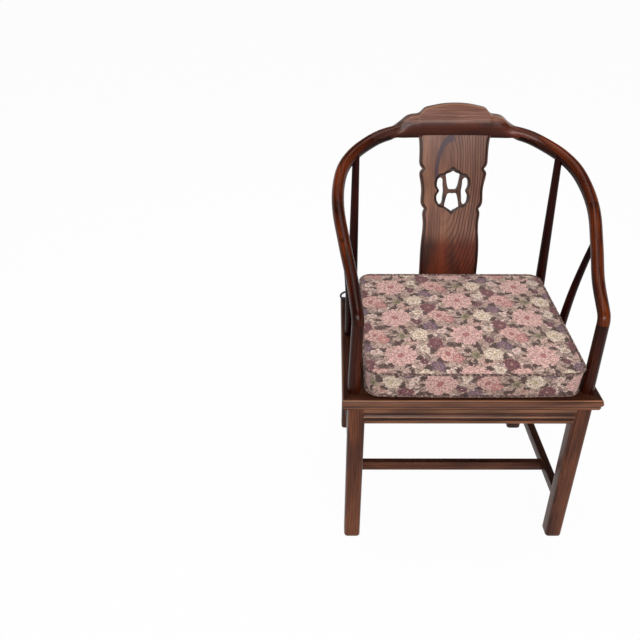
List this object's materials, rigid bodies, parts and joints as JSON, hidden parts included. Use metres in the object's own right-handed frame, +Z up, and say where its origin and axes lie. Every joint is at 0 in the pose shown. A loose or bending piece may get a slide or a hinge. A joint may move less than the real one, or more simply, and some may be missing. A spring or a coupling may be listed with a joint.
{
  "type": "horseshoe back armchair",
  "caption": "Horseshoe-back armchair in dark wood with a stepped crest, pierced curved splat, moulded seat frame, square legs and a tied-on floral box cushion.",
  "frame": {"origin": "on the floor, at the middle of the chair's width and depth", "axes": "+Z up, -Y to the front of the chair, +X to the right as seen from the front"},
  "size_m": [0.5836, 0.533, 0.8825],
  "materials": {
    "frame_wood": "satin lacquer over dark walnut stain",
    "leg_wood": "satin lacquer over dark walnut stain",
    "rail_wood": "semi-gloss lacquer over reddish-brown stain",
    "splat_wood": "semi-gloss lacquer, figured board",
    "bare_wood": "plain sanded, thin stain",
    "cushion_fabric": "woven floral upholstery cloth",
    "tie_cord": "braided cord, matt"
  },
  "bodies": {
    "root": {"seat_rail_front": "frame_wood", "seat_rail_rear": "frame_wood", "seat_rail_right": "frame_wood", "seat_rail_left": "frame_wood", "apron_front": "frame_wood", "apron_rear": "frame_wood", "apron_right": "frame_wood", "apron_left": "frame_wood", "front_leg_right": "leg_wood", "front_leg_left": "leg_wood", "rear_leg_right": "leg_wood", "rear_leg_left": "leg_wood", "side_stretcher_right": "leg_wood", "side_stretcher_left": "leg_wood", "cross_stretcher": "leg_wood", "arm_front_right": "rail_wood", "arm_front_left": "rail_wood", "arm_corner_right": "rail_wood", "arm_corner_left": "rail_wood", "crest_rail": "rail_wood", "front_post_right": "rail_wood", "front_post_left": "rail_wood", "side_post_right": "rail_wood", "side_post_left": "rail_wood", "rear_post_right": "rail_wood", "rear_post_left": "rail_wood", "back_splat": "splat_wood", "seat_panel": "bare_wood", "panel_batten_right": "bare_wood", "panel_batten_left": "bare_wood", "frame_pins": "bare_wood", "rail_scarf_keys": "bare_wood", "seat_cushion": "cushion_fabric", "cushion_tie_right": "tie_cord", "cushion_tie_left": "tie_cord"}
  },
  "joints": []
}
